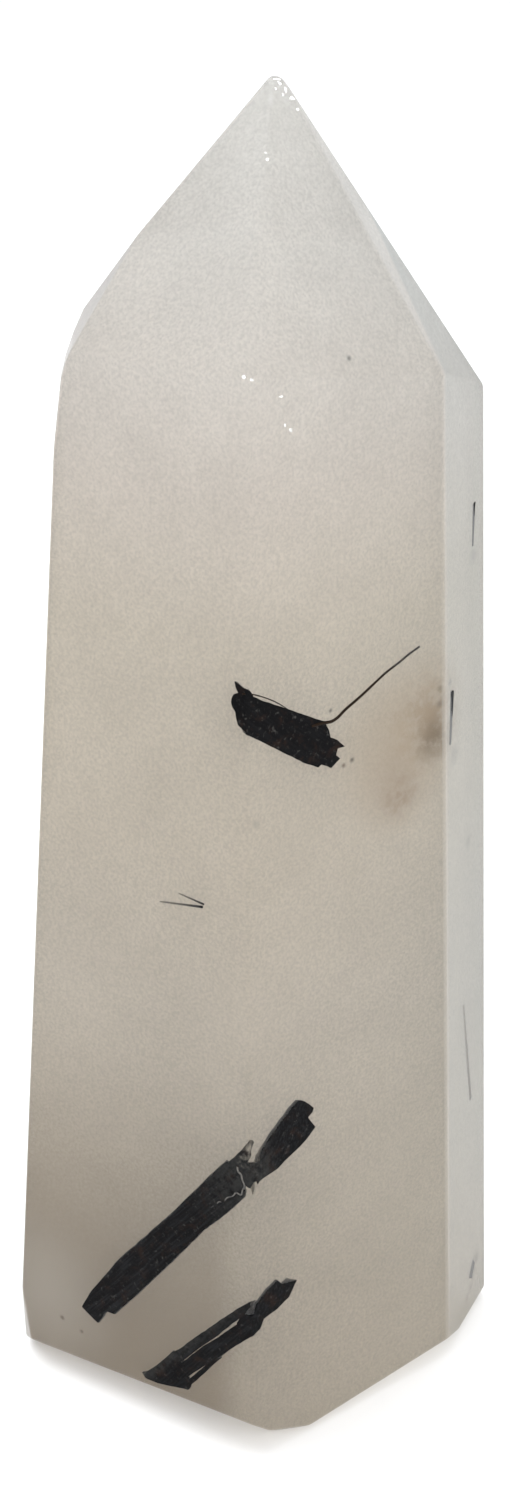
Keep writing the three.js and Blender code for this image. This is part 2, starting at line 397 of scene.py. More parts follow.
@dataclass(frozen=True)
class Tourmaline:
    """Black tourmaline: striated along the crystal, with brown and dusty grey patches."""

    name: str
    streaky: float = 1.0
    dusty: float = 0.6
    brownish: float = 0.8
    black: tuple = (0.0015, 0.0015, 0.0018, 1)
    slate: tuple = (0.009, 0.0095, 0.0105, 1)
    brown: tuple = (0.013, 0.007, 0.005, 1)
    dust: tuple = (0.06, 0.058, 0.054, 1)
    veil: tuple = (0.021, 0.021, 0.02, 1)
    overgrown: tuple = (0.2, 0.178, 0.146, 1)
    streaks: Noise = Noise(5200, 4, 0.6)
    stretch: tuple = (1, 1, 0.07)  # draws the streaks out along the crystal
    patches: Noise = Noise(900, 4, 0.65)
    flecks: Noise = Noise(2600, 5, 0.7)
    wisps: Noise = Noise(1900, 4, 0.6)
    hazed: float = 0.6  # what full depth adds to the fades
    veiled: Band = Band(0, 1)  # where the fades turn the crystal grey
    wispy: Band = Band(0.3, 0.65)
    lost: Band = Band(0.95, 1.35)  # where the quartz hides it
    lost_ragged: float = 0.8
    roughness: Band = Band(0.3, 0.7, 0.4, 0.65)
    fluting: float = 0.6  # relief of the streaks, where that of the flecks is 1
    relief: float = 0.5
    relief_mm: float = 0.06
    ior: float = 1.62
    specular: float = 0.03

    def colour(self, nodes: Nodes, own: Socket, streaks: Socket, flecks: Socket) -> Socket:
        """The crystal's own colour, from two noises, before any quartz covers it."""
        streaked = nodes.band(streaks, Band(0.42, 0.7, 0, self.streaky))
        colour = nodes.mix(streaked, self.black, self.slate)
        browned = nodes.band(nodes.noise(own, self.patches), Band(0.5, 0.7, 0, self.brownish))
        colour = nodes.mix(browned, colour, self.brown)
        return nodes.mix(nodes.band(flecks, Band(0.54, 0.74, 0, self.dusty)), colour, self.dust)

    def cover(self, nodes: Nodes, own: Socket, colour: Socket) -> Socket:
        """Pales a colour where quartz has grown over the crystal."""
        fades = nodes.split(nodes.attribute(VEIL))
        buried = nodes.math("MINIMUM", fades["X"], fades["Y"])
        buried = nodes.math("ADD", buried, nodes.math("MULTIPLY", fades["Z"], self.hazed))
        wisps = nodes.noise(own, self.wisps)
        veiled = nodes.math("MULTIPLY", nodes.band(buried, self.veiled), nodes.band(wisps, self.wispy))
        colour = nodes.mix(veiled, colour, self.veil)
        torn = nodes.math("MULTIPLY", nodes.math("SUBTRACT", wisps, 0.5), self.lost_ragged)
        return nodes.mix(nodes.band(nodes.math("ADD", buried, torn), self.lost), colour, self.overgrown)

    def build(self) -> bpy.types.Material:
        """Makes the material."""
        nodes = Nodes(self.name)
        own = nodes.attribute(GRAIN)
        drawn = nodes.add("ShaderNodeMapping", {"Vector": own, "Scale": self.stretch}).outputs["Vector"]
        streaks = nodes.noise(drawn, self.streaks)
        flecks = nodes.noise(own, self.flecks)
        height = nodes.math("ADD", nodes.math("MULTIPLY", streaks, self.fluting), flecks)
        nodes.surface(
            {
                "Base Color": self.cover(nodes, own, self.colour(nodes, own, streaks, flecks)),
                "Roughness": nodes.band(flecks, self.roughness),
                "IOR": self.ior,
                "Specular IOR Level": self.specular,
                "Normal": nodes.bump(height, self.relief, self.relief_mm),
            }
        )
        return nodes.material


def faint(name: str, black: tuple, slate: tuple) -> Tourmaline:
    """A tourmaline of one even tone, for a crystal under the quartz or a hair-fine one."""
    return Tourmaline(name, streaky=0.3, dusty=0.4, black=black, slate=slate)


STRIATED = Tourmaline("black_tourmaline")
SMOKY = faint("smoky_tourmaline", (0.05, 0.036, 0.026, 1), (0.11, 0.085, 0.065, 1))
PALE = faint("pale_tourmaline", (0.15, 0.11, 0.055, 1), (0.24, 0.19, 0.12, 1))
BROKEN = Tourmaline("broken_tourmaline", streaky=0.3, dusty=0.7)
BROWN = faint("brown_tourmaline", (0.012, 0.007, 0.004, 1), (0.03, 0.02, 0.013, 1))


@dataclass(frozen=True)
class Fracture:
    """The dull pale surface of quartz where it is chipped or cracked."""

    name: str
    dull: tuple
    bright: tuple
    crumbs: Noise = Noise(3500, 4, 0.6)
    crumbly: Band = Band(0.3, 0.6)
    roughness: float = 0.4
    relief: float = 0.8
    relief_mm: float = 0.1

    def build(self) -> bpy.types.Material:
        """Makes the material."""
        nodes = Nodes(self.name)
        crumbs = nodes.noise(nodes.position(), self.crumbs)
        nodes.surface(
            {
                "Base Color": nodes.mix(nodes.band(crumbs, self.crumbly), self.dull, self.bright),
                "Roughness": self.roughness,
                "IOR": QUARTZ_IOR,
                "Normal": nodes.bump(crumbs, self.relief, self.relief_mm),
            }
        )
        return nodes.material


# The chipped faces run from pale to pure white: partly the white of bruised quartz, partly painted glints.
CHIPPED = Fracture("chipped_quartz", (0.75, 0.74, 0.72, 1), (1, 1, 1, 1))
HEALED = Fracture("healed_crack", (0.008, 0.0075, 0.007, 1), (0.075, 0.068, 0.058, 1))


def object_of(name: str, bm: Shape) -> Item:
    """A new object with the shape of a bmesh, which is freed."""
    mesh = bpy.data.meshes.new(name)
    bm.to_mesh(mesh)
    bm.free()
    item = bpy.data.objects.new(name, mesh)
    bpy.context.scene.collection.objects.link(item)
    return item


def piece(name: str, bm: Shape, materials: list, nodes: tuple) -> Item:
    """Turns a finished bmesh into a piece that rides on the stone.

    Args:
        name: The piece's name.
        bm: Its shape, which is freed.
        materials: Its materials, by slot.
        nodes: The CAD nodes that it stands for.

    Returns:
        The object.
    """
    item = object_of(name, bm)
    for material in materials:
        item.data.materials.append(material)
    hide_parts(*nodes)
    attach(item, BODY)
    log.info("%s: %d faces", name, len(item.data.polygons))
    return item


def planes_of(bm: Shape, least_mm2: float) -> list:
    """The planes of a solid's faces, without its slivers.

    Args:
        bm: The solid.
        least_mm2: The smallest face that counts.

    Returns:
        A place and an outward vector for each face.
    """
    broad = [face for face in bm.faces if face.calc_area() > least_mm2 * MM * MM]
    return [(face.calc_center_median(), face.normal.copy()) for face in broad]


def slice_off(bm: Shape, place: Vector, outward: Vector) -> None:
    """Cuts away what lies outside a plane, and closes the cut."""
    geometry = bm.verts[:] + bm.edges[:] + bm.faces[:]
    cut = bmesh.ops.bisect_plane(
        bm, geom=geometry, dist=ON_PLANE, plane_co=place, plane_no=outward, clear_outer=True
    )
    rim = [item for item in cut["geom_cut"] if isinstance(item, bmesh.types.BMEdge)]
    if rim:
        bmesh.ops.holes_fill(bm, edges=rim)


def in_order(bm: Shape) -> Shape:
    """The same shape with its points and faces in one fixed order.

    Blender numbers what it extrudes differently from run to run, and later cuts follow the
    numbers.

    Args:
        bm: The shape, which is freed.

    Returns:
        The ordered shape.
    """
    verts = sorted(bm.verts, key=lambda vert: tuple(vert.co))
    numbers = {vert: number for number, vert in enumerate(verts)}
    rings = []
    for face in bm.faces:
        ring = [numbers[vert] for vert in face.verts]
        start = ring.index(min(ring))
        rings.append(ring[start:] + ring[:start])
    ordered = bmesh.new()
    placed = [ordered.verts.new(vert.co) for vert in verts]
    for ring in sorted(rings):
        ordered.faces.new([placed[number] for number in ring])
    bm.free()
    return ordered


def axes_of(start: Vector, end: Vector) -> Matrix:
    """From axes of its own, z from start to end, to the stone's."""
    return Matrix.Translation(start) @ (end - start).to_track_quat("Z", "X").to_matrix().to_4x4()


def settle(item: Item) -> None:
    """Applies an object's modifiers to its mesh."""
    graph = bpy.context.evaluated_depsgraph_get()
    mesh = bpy.data.meshes.new_from_object(item.evaluated_get(graph))
    item.modifiers.clear()
    item.data = mesh
    log.info("%s settled: %d faces", item.name, len(mesh.polygons))


def mark(item: Item, name: str, value_at: Callable[[Vector], Vector]) -> None:
    """Keeps a vector at each point of a piece, for its material.

    Args:
        item: The piece.
        name: The attribute's name.
        value_at: Gives the vector for a place.
    """
    layer = item.data.attributes.new(name, "FLOAT_VECTOR", "POINT")
    for vert, value in zip(item.data.vertices, layer.data):
        value.vector = value_at(vert.co)


@dataclass(frozen=True)
class Chip:
    """A small bite out of an edge of the quartz."""

    place_mm: tuple
    size_mm: tuple
    seed: int
    ragged: float = 0.45  # how far its corners stray, where its least size is 1
    widest_turn: float = 3.0

    def cut(self, bm: Shape, material: int) -> None:
        """Adds the lump that the bite is cut with.

        Args:
            bm: Where the lump goes.
            material: Its material's number.
        """
        dice = random.Random(self.seed)
        angle = dice.uniform(0, self.widest_turn)
        turn = Matrix.Rotation(angle, 4, Vector((dice.random(), dice.random(), 1)))
        place = Matrix.Translation(Vector(self.place_mm) * MM)
        matrix = place @ turn @ Matrix.Diagonal((*self.size_mm, 1))
        lump = bmesh.ops.create_icosphere(bm, subdivisions=1, radius=MM, matrix=matrix)
        for vert in lump["verts"]:
            shift = Vector([dice.uniform(-self.ragged, self.ragged) for _ in range(3)])
            vert.co += shift * min(self.size_mm) * MM
            for face in vert.link_faces:
                face.material_index = material


@dataclass(frozen=True)
class QuartzPoint:
    """The polished six-sided quartz with its chips."""

    finish: MilkyQuartz = MilkyQuartz()
    fracture: Fracture = CHIPPED
    block_mm: float = 300.0
    edge_mm: float = 0.2
    edge_segments: int = 3
    edge_deg: float = 5.0  # least angle of an edge that is worn
    flat_deg: float = 0.6  # faces nearer to one plane than this are one
    sharp_deg: float = 38.0  # least angle that isn't shaded smooth
    least_edge_mm: float = 0.35
    least_face_mm2: float = 0.2
    shoulder_mm: float = 78.0  # foot of the rounded left shoulder
    shoulder_normal: tuple = (-0.6, 0.2, 0.03)  # greatest x, widest y and least z
    chips: tuple = (
        Chip((1.1, -0.75, 100.4), (0.5, 0.4, 0.35), 1),
        Chip((1.4, -0.95, 100.0), (0.3, 0.14, 0.22), 2),
        Chip((1.75, -0.95, 99.55), (0.14, 0.2, 0.32), 3),
        Chip((2.1, -0.8, 98.95), (0.26, 0.12, 0.16), 4),
        Chip((2.45, -0.95, 98.3), (0.1, 0.1, 0.2), 5),
        Chip((1.05, -1.5, 99.65), (0.22, 0.1, 0.08), 17),
        Chip((1.5, -1.25, 99.25), (0.08, 0.1, 0.2), 18),
        Chip((0.25, -2.88, 98.44), (0.16, 0.16, 0.24), 6),
        Chip((0.22, -3.2, 98.0), (0.16, 0.16, 0.2), 7),
        Chip((0.22, -3.77, 97.1), (0.16, 0.16, 0.4), 8),
        Chip((0.38, -4.3, 96.05), (0.36, 0.2, 0.12), 9),
        Chip((0.53, -4.37, 95.74), (0.18, 0.16, 0.13), 10),
        Chip((-0.95, -12.95, 84.1), (0.26, 0.13, 0.12), 11),
        Chip((-0.45, -12.62, 83.85), (0.32, 0.14, 0.1), 12),
        Chip((1.35, -11.75, 82.85), (0.3, 0.2, 0.13), 13),
        Chip((1.5, -11.35, 82.4), (0.3, 0.2, 0.1), 14),
        Chip((1.65, -11.2, 80.55), (0.12, 0.12, 0.12), 15),
        Chip((2.0, -10.95, 80.2), (0.2, 0.18, 0.12), 16),
    )

    def planes(self) -> list:
        """The ground faces of the CAD node: those of its hull."""
        bm = bmesh.new()
        bm.from_mesh(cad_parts["quartz_point"].data)
        bmesh.ops.remove_doubles(bm, verts=bm.verts, dist=WELD)
        hull = bmesh.ops.convex_hull(bm, input=bm.verts)
        spare = {item for key in ("geom_interior", "geom_unused") for item in hull[key]}
        bmesh.ops.delete(bm, geom=[v for v in spare if isinstance(v, bmesh.types.BMVert)], context="VERTS")
        kept = {item for item in hull["geom"] if isinstance(item, bmesh.types.BMFace)}
        bmesh.ops.delete(bm, geom=[f for f in bm.faces if f not in kept], context="FACES")
        flat = math.radians(self.flat_deg)
        bmesh.ops.dissolve_limit(bm, angle_limit=flat, verts=bm.verts, edges=bm.edges)
        bmesh.ops.recalc_face_normals(bm, faces=bm.faces)
        planes = planes_of(bm, self.least_face_mm2)
        bm.free()
        return planes

    def outline(self, planes: list) -> Shape:
        """The ground shape without its pockets, cut from a block."""
        bm = bmesh.new()
        bmesh.ops.create_cube(bm, size=self.block_mm * MM)
        for place, outward in planes:
            slice_off(bm, place, outward)
        bmesh.ops.remove_doubles(bm, verts=bm.verts, dist=self.least_edge_mm * MM)
        bmesh.ops.recalc_face_normals(bm, faces=bm.faces)
        return bm

    def bites(self, materials: list) -> Item:
        """All the lumps that the chips are cut with, as one object, in the last material."""
        bm = bmesh.new()
        for chip in self.chips:
            chip.cut(bm, len(materials) - 1)
        item = object_of("bites", bm)
        for material in materials:
            item.data.materials.append(material)
        return item

    def on_shoulder(self, face: bpy.types.MeshPolygon) -> bool:
        """Whether a face is one of those that round the left shoulder."""
        leftmost, widest, lowest = self.shoulder_normal
        turned = face.normal.x < leftmost and abs(face.normal.y) < widest and face.normal.z > lowest
        return turned and face.center.z > self.shoulder_mm * MM

    def wear(self, item: Item, bites: Item) -> None:
        """Rounds the edges of the piece and bites the chips out of it."""
        edge_wear_and_sheen = item.modifiers.new("worn edges", "BEVEL")
        edge_wear_and_sheen.width = self.edge_mm * MM
        edge_wear_and_sheen.segments = self.edge_segments
        edge_wear_and_sheen.limit_method = "ANGLE"
        edge_wear_and_sheen.angle_limit = math.radians(self.edge_deg)
        chipped = item.modifiers.new("chips", "BOOLEAN")
        chipped.object = bites
        chipped.solver = "EXACT"
        chipped.use_self = True
        chipped.material_mode = "TRANSFER"
        settle(item)
        bpy.data.objects.remove(bites)

    def build(self) -> list:
        """Makes the piece.

        Returns:
            The planes of its faces, for the crystals that they cut.
        """
        planes = self.planes()
        materials = [self.finish.build(), self.fracture.build()]
        item = piece("quartz", self.outline(planes), materials, ("quartz_point",))
        self.wear(item, self.bites(materials))
        turned = item.data.attributes.new(TURNED, "FLOAT", "FACE")
        for polygon, share in zip(item.data.polygons, turned.data):
            polygon.use_smooth = True
            share.value = float(self.on_shoulder(polygon))
        item.data.set_sharp_from_angle(angle=math.radians(self.sharp_deg))
        item.modifiers.new("flat faces", "WEIGHTED_NORMAL").keep_sharp = True
        return planes


@dataclass(frozen=True)
class Strand:
    """A straight fluted prism under a face, broken off at both ends."""

    facet: Facet
    start_mm: tuple
    end_mm: tuple
    radius_mm: float
    taper: float = 1.0
    sides: int = 32
    snag_mm: float = 0.1
    seed: int = 0
    ring_mm: float = 0.45
    three_sided: float = 0.07
    coarse: float = 0.09
    fine: float = 0.05
    slant: float = 0.6

    @property
    def ends(self) -> tuple:
        """The places of its two ends."""
        return self.facet.point(*self.start_mm), self.facet.point(*self.end_mm)

    def grow(self) -> Shape:
        """Makes the prism in the stone's axes."""
        dice = random.Random(self.seed)
        start, end = self.ends
        length = (end - start).length
        rings = max(3, round(length / (self.ring_mm * MM)))
        bm = bmesh.new()
        bmesh.ops.create_circle(bm, segments=self.sides, radius=self.radius_mm * MM)
        rim = bm.edges[:]
        for _ in range(rings):
            grown = bmesh.ops.extrude_edge_only(bm, edges=rim)["geom"]
            verts = [item for item in grown if isinstance(item, bmesh.types.BMVert)]
            rim = [item for item in grown if isinstance(item, bmesh.types.BMEdge)]
            rim = [edge for edge in rim if all(vert in verts for vert in edge.verts)]
            bmesh.ops.translate(bm, verts=verts, vec=(0, 0, length / rings))
        bm = in_order(bm)
        bmesh.ops.holes_fill(bm, edges=[edge for edge in bm.edges if edge.is_boundary])
        self.flute(bm, length, dice)
        self.snap(bm, length, dice)
        bmesh.ops.transform(bm, matrix=axes_of(start, end), verts=bm.verts)
        bmesh.ops.recalc_face_normals(bm, faces=bm.faces)
        return bm

    def flute(self, bm: Shape, length: float, dice: random.Random) -> None:
        """Presses grooves along the sides, and wanders the outline a little."""
        turn, drift = dice.uniform(0, 6.3), Vector([dice.uniform(0, 50) for _ in range(3)])
        for vert in bm.verts:
            angle = math.atan2(vert.co.y, vert.co.x)
            share = vert.co.z / length
            grooves = Vector((3 * math.cos(angle), 3 * math.sin(angle), share * length * 60)) + drift
            bulge = self.three_sided * math.cos(3 * angle + turn) + self.coarse * noise.noise(grooves)
            bulge += self.fine * noise.noise(grooves * 3.1)
            scale = (1 + bulge) * (1 + (self.taper - 1) * share)
            vert.co.x *= scale
            vert.co.y *= scale

    def snap(self, bm: Shape, length: float, dice: random.Random) -> None:
        """Breaks both ends off along two slanting planes each."""
        if self.snag_mm == 0:
            return
        for end, way in ((0, -1), (length, 1)):
            for _ in range(2):
                aside = (dice.uniform(-self.slant, self.slant), dice.uniform(-self.slant, self.slant))
                depth = dice.uniform(0.3, 1.0) * self.snag_mm * MM
                slice_off(bm, Vector((0, 0, end - way * depth)), Vector((*aside, way)).normalized())


@dataclass(frozen=True)
class Fade:
    """How a crystal pales, from one place on a face to another, where quartz has grown over it."""

    facet: Facet
    start_mm: tuple
    end_mm: tuple

    def share(self, place: Vector) -> float:
        """How far along the fade a point lies: 0 at its start, 1 at its end."""
        start, end = self.facet.point(*self.start_mm), self.facet.point(*self.end_mm)
        return (place - start).dot(end - start) / (end - start).length_squared


@dataclass(frozen=True)
class Shard:
    """A crystal by the outline that one face shows of it, with a rounded belly behind that."""

    facet: Facet
    rim_mm: tuple
    belly_mm: float
    swell: float = 0.0  # share of the belly at which it is widest
    ragged_mm: float = 0.04
    seed: int = 0
    step_mm: float = 0.4
    layers: int = 5
    above_mm: float = 0.2
    strips: tuple = (1.5, 1.2)  # widths of the strips across and along the shard, in steps
    grit_mm: float = 0.5  # how far apart the snags of its edge are
    narrowing: float = 0.7  # how much shorter it gets, where its belly is 1
    least_width: float = 0.02

    @property
    def ends(self) -> tuple:
        """The two corners that lie furthest apart."""
        corners = [self.facet.point(*corner) for corner in self.rim_mm]
        pairs = [(first, second) for first in corners for second in corners]
        return max(pairs, key=lambda pair: (pair[1] - pair[0]).length)

    def width(self, share: float) -> float:
        """How wide the belly is at a share of its depth, where the outline is 1."""
        chord = (share - self.swell) / (1 - self.swell)
        rim = self.swell / (1 - self.swell)
        return math.sqrt(max(self.least_width, 1 - chord * chord)) / math.sqrt(1 - rim * rim)

    def score(self, bm: Shape, way: Vector, step: float) -> None:
        """Divides a sheet by parallel lines that stand square to a direction."""
        reaches = [vert.co.dot(way) for vert in bm.verts]
        low, high = min(reaches), max(reaches)
        strips = max(1, round((high - low) / step))
        for number in range(1, strips):
            geometry = bm.verts[:] + bm.edges[:] + bm.faces[:]
            place = way * (low + (high - low) * number / strips)
            bmesh.ops.bisect_plane(bm, geom=geometry, dist=ON_PLANE, plane_co=place, plane_no=way)

    def outline(self) -> Shape:
        """The outline as a divided sheet just above the face, with a ragged edge."""
        bm = bmesh.new()
        bm.faces.new([bm.verts.new(self.facet.point(*corner)) for corner in self.rim_mm])
        for edge in list(bm.edges):
            cuts = int(edge.calc_length() / (self.step_mm * MM))
            if cuts:
                bmesh.ops.subdivide_edges(bm, edges=[edge], cuts=cuts)
        first, last = self.ends
        outward = self.facet.outward
        axis = (last - first).normalized()
        across_steps, along_steps = self.strips
        self.score(bm, axis, across_steps * self.step_mm * MM)
        self.score(bm, axis.cross(outward), along_steps * self.step_mm * MM)
        drift = Vector((self.seed * 7.3, self.seed * 1.9, 0))
        for vert in bm.verts:
            if vert.is_boundary:
                shift = noise.noise_vector(vert.co / (self.grit_mm * MM) + drift)
                vert.co += (shift - outward * shift.dot(outward)) * self.ragged_mm * MM
            vert.co += outward * self.above_mm * MM
        return bm

    def grow(self) -> Shape:
        """Makes the shard: the sheet, drawn inwards ring by ring towards its middle line."""
        bm = self.outline()
        inward = -self.facet.outward
        first, last = self.ends
        axis = (last - first).normalized()
        across = axis.cross(inward).normalized()
        middle = sum((vert.co for vert in bm.verts), Vector()) / len(bm.verts)
        shrink = self.narrowing * self.belly_mm * MM / (last - first).length
        top = bm.verts.layers.float_vector.new("top")
        for vert in bm.verts:
            vert[top] = vert.co
        sheet = bm.faces[:]
        for layer in range(1, self.layers + 1):
            share = layer / self.layers
            width = self.width(share)
            grown = bmesh.ops.extrude_face_region(bm, geom=sheet)["geom"]
            if layer > 1:
                bmesh.ops.delete(bm, geom=[face for face in sheet if face.is_valid], context="FACES")
            sheet = [item for item in grown if isinstance(item, bmesh.types.BMFace)]
            fall = (self.belly_mm + self.above_mm) * MM * share
            for vert in {vert for face in sheet for vert in face.verts}:
                offset = vert[top] - middle
                aside = across * offset.dot(across) * (width - 1)
                ahead = axis * offset.dot(axis) * shrink * share * share
                vert.co = vert[top] + inward * fall + aside - ahead
        bm = in_order(bm)
        bmesh.ops.triangulate(bm, faces=[item for item in bm.faces if len(item.verts) > 4])
        bmesh.ops.recalc_face_normals(bm, faces=bm.faces)
        return bm


@dataclass(frozen=True)
class Crystal:
    """A tourmaline crystal: one or more grown parts, ground flush where a face cuts them."""

    name: str
    nodes: tuple
    parts: tuple
    fades: tuple = ()
    finish: Tourmaline = STRIATED
    proud_mm: float = 0.02
    sunk_mm: float = 0.5  # depth at which the haze adds its full share to the fades
    no_fade: float = 2.0  # stands in for a second fade, and is past its end

    def grow(self, planes: list) -> list:
        """Makes the parts, each cut by the faces of the quartz."""
        solids = []
        for part in self.parts:
            grown = part.grow()
            for place, outward in planes:
                slice_off(grown, place + outward * self.proud_mm * MM, outward)
            solids.append(grown)
        return solids

    def build(self, planes: list, materials: dict) -> Item:
        """Makes the piece.

        Args:
            planes: The faces of the quartz.
            materials: The material of each finish.

        Returns:
            The object.
        """
        first, *others = self.grow(planes)
        item = piece(self.name, first, [materials[self.finish]], self.nodes)
        spares = [object_of("spare", solid) for solid in others]
        for spare in spares:
            join = item.modifiers.new("grown together", "BOOLEAN")
            join.operation = "UNION"
            join.solver = "MANIFOLD"
            join.object = spare
        if spares:
            settle(item)
        for spare in spares:
            bpy.data.objects.remove(spare)
        own = axes_of(*self.parts[0].ends).inverted()
        mark(item, GRAIN, lambda place: own @ place)
        if self.fades:
            mark(item, VEIL, self.veil)
        return item

    def veil(self, place: Vector) -> Vector:
        """How far a point lies along one or two fades, and how deep it lies, from 0 to 1."""
        shares = [fade.share(place) for fade in self.fades] + [self.no_fade]
        sunk = min(facet.depth(place) for facet in Facet) / (self.sunk_mm * MM)
        return Vector((shares[0], shares[1], min(1.0, max(0.0, sunk))))


@dataclass(frozen=True)
class Hair:
    """A hair-fine crystal or crack that tapers along a curve."""

    name: str
    nodes: tuple
    facet: Facet
    path_mm: tuple
    thick_mm: tuple
    finish: Tourmaline | Fracture = BROWN
    slot: str = "black_tourmaline"

    def curve(self) -> bpy.types.Curve:
        """Its middle line with its thickness, as a curve."""
        curve = bpy.data.curves.new(self.name, "CURVE")
        curve.dimensions = "3D"
        curve.bevel_depth = MM
        curve.bevel_resolution = 3
        curve.use_fill_caps = True
        curve.resolution_u = 6
        spline = curve.splines.new("NURBS")
        spline.points.add(len(self.path_mm) - 1)
        spline.use_endpoint_u = True
        spline.order_u = 3
        for number, (point, place) in enumerate(zip(spline.points, self.path_mm)):
            share = number / (len(self.path_mm) - 1)
            point.co = (*self.facet.point(*place), 1)
            point.radius = (self.thick_mm[0] * (1 - share) + self.thick_mm[1] * share) / 2
        return curve

    def build(self, materials: dict) -> Item:
        """Makes the piece."""
        drawn = bpy.data.objects.new("drawn", self.curve())
        bpy.context.scene.collection.objects.link(drawn)
        graph = bpy.context.evaluated_depsgraph_get()
        mesh = bpy.data.meshes.new_from_object(drawn.evaluated_get(graph))
        bpy.data.objects.remove(drawn)
        bm = bmesh.new()
        bm.from_mesh(mesh)
        bmesh.ops.remove_doubles(bm, verts=bm.verts, dist=WELD)
        bmesh.ops.recalc_face_normals(bm, faces=bm.faces)
        item = piece(self.name, bm, [materials[self.finish]], self.nodes)
        mark(item, GRAIN, Vector)
        return item


# Outlines and paths on a face: distance to the right, distance up and, where it is given, depth.
BLOCK_RIM = (
    (-9.05, 63.5), (-8.9, 63.4), (-7.45, 62.5), (-5.4, 61.4), (-3.3, 60.2), (-2.45, 59.75),
    (-2.1, 59.05), (-2.0, 58.45), (-1.35, 58.1), (-0.75, 57.45), (-1.35, 57.45), (-1.5, 57.0),
    (-1.15, 56.65), (-1.95, 56.15), (-2.35, 56.4), (-2.8, 56.65), (-3.1, 56.5), (-4.4, 57.25),
    (-6.5, 58.75), (-8.55, 60.2), (-9.05, 60.5),
)
BLOCK_END = (
    (7.4, 63.2), (6.85, 63.6), (6.4, 63.75), (5.65, 64.1), (5.75, 63.7), (5.95, 63.35), (5.6, 63.2),
    (5.45, 62.9), (5.4, 62.55), (5.5, 62.25), (5.75, 61.95), (5.8, 61.5), (5.95, 61.05), (6.4, 60.8),
    (7.4, 60.6),
)
FLAKE_PATH = (
    (-9.2, 63.45, 0.1), (-8.5, 63.3, 0.0), (-7.6, 62.85, 0.0), (-6.4, 62.15, 0.0), (-5.4, 61.3, 0.1),
)
HAIR_PATH = (
    (-3.6, 59.7, 0.05), (-2.65, 59.7, 0.0), (-2.2, 59.6, 0.0), (-1.8, 59.58, 0.0), (-1.3, 59.75, 0.0),
    (-0.7, 60.16, 0.0), (0.2, 60.53, 0.02), (1.3, 61.08, 0.03), (1.95, 61.42, 0.04),
    (3.07, 62.0, 0.06), (4.2, 62.37, 0.1), (5.1, 62.79, 0.14), (6.05, 63.06, 0.2),
)

ROD_LOW = (
    (-7.75, 7.9), (-6.25, 7.05), (-5.4, 8.55), (-4.7, 8.6), (-2.45, 11.5), (0.65, 15.75), (3.6, 19.9),
    (5.65, 22.3), (7.05, 24.2), (7.15, 24.7), (6.95, 25.35), (6.9, 26.0), (6.0, 26.6), (5.6, 26.6),
    (4.75, 25.5), (4.0, 24.5), (0.65, 19.9), (-4.0, 14.0), (-6.9, 9.6),
)
ROD_TIP = (
    (6.2, 25.6), (7.2, 26.2), (7.35, 27.2), (7.65, 27.9), (7.5, 29.3), (6.65, 27.95), (5.85, 26.95),
    (5.1, 25.9), (5.2, 25.4),
)
ROD_HIGH = (
    (-5.2, 30.75), (-4.6, 30.45), (-3.85, 29.65), (-4.0, 29.3), (-4.4, 29.05), (-4.2, 28.65),
    (-3.8, 28.0), (-4.4, 27.45), (-5.25, 26.85), (-6.7, 26.2), (-7.3, 25.8), (-8.15, 25.65),
    (-8.9, 25.4), (-9.1, 25.2), (-9.3, 26.05), (-9.2, 26.7), (-9.05, 27.3), (-8.35, 28.1),
    (-7.5, 28.95), (-6.4, 29.85), (-5.85, 30.35),
)
ROD_GAP = (
    (-10.5, 27.3), (-9.65, 27.3), (-9.0, 27.0), (-8.9, 26.5), (-9.0, 25.5), (-9.4, 25.6),
    (-9.75, 25.2), (-10.5, 25.3),
)
CRACK_PATH = (
    (4.1, 21.7, 0.05), (4.3, 22.3, 0.02), (4.75, 22.5, 0.05), (4.9, 23.0, 0.02), (5.4, 23.0, 0.06),
    (5.6, 23.6, 0.02), (6.2, 23.9, 0.05), (6.4, 24.4, 0.02), (6.9, 24.2, 0.02), (6.95, 24.8, 0.06),
    (7.2, 25.1, 0.02), (6.9, 25.7, 0.05), (6.85, 26.1, 0.02), (6.5, 26.2, 0.06), (6.5, 26.6, 0.05),
)

FORK_THICK = (
    (1.3, 5.95), (1.55, 6.4), (1.85, 6.85), (2.7, 7.95), (3.8, 9.3), (4.95, 10.5), (6.0, 11.8),
    (6.95, 12.8), (7.65, 13.55), (8.2, 14.1), (9.2, 15.3), (9.2, 13.2), (8.2, 12.2), (6.8, 10.7),
    (5.55, 9.2), (4.1, 7.65), (2.5, 5.8), (2.0, 5.3),
)
FORK_TAIL = (
    (-10.6, 13.6), (-9.75, 13.9), (-9.5, 14.6), (-8.35, 15.45), (-7.45, 15.85), (-7.05, 15.35),
    (-5.7, 15.1), (-6.5, 13.95), (-7.65, 13.4), (-8.9, 13.1), (-9.25, 12.35), (-9.85, 12.05),
    (-11.0, 11.9),
)
FORK_THIN = (
    (1.8, 6.8), (2.7, 8.0), (3.8, 9.35), (4.9, 10.6), (5.9, 11.9), (6.7, 12.9), (7.4, 13.85),
    (7.8, 14.65), (7.75, 15.1), (6.75, 14.05), (5.8, 13.0), (4.85, 11.9), (3.9, 10.75), (2.75, 9.45),
    (1.8, 8.25), (1.0, 7.4), (1.3, 6.8),
)
FORK_FOOT = (
    (1.0, 7.45), (0.3, 6.45), (-0.55, 5.35), (-1.4, 4.4), (-1.95, 4.0), (-1.65, 3.6), (-0.55, 3.65),
    (0.8, 4.0), (1.8, 4.3), (2.3, 4.4), (2.55, 4.85), (2.45, 5.5), (2.0, 6.0), (1.75, 6.6),
    (1.75, 7.0),
)
FORK_FIBRE = (
    (5.4, 8.85), (4.85, 8.1), (3.6, 6.25), (2.6, 4.9), (2.3, 4.5), (2.1, 4.7), (2.65, 5.75),
    (3.85, 7.35), (4.7, 8.4),
)


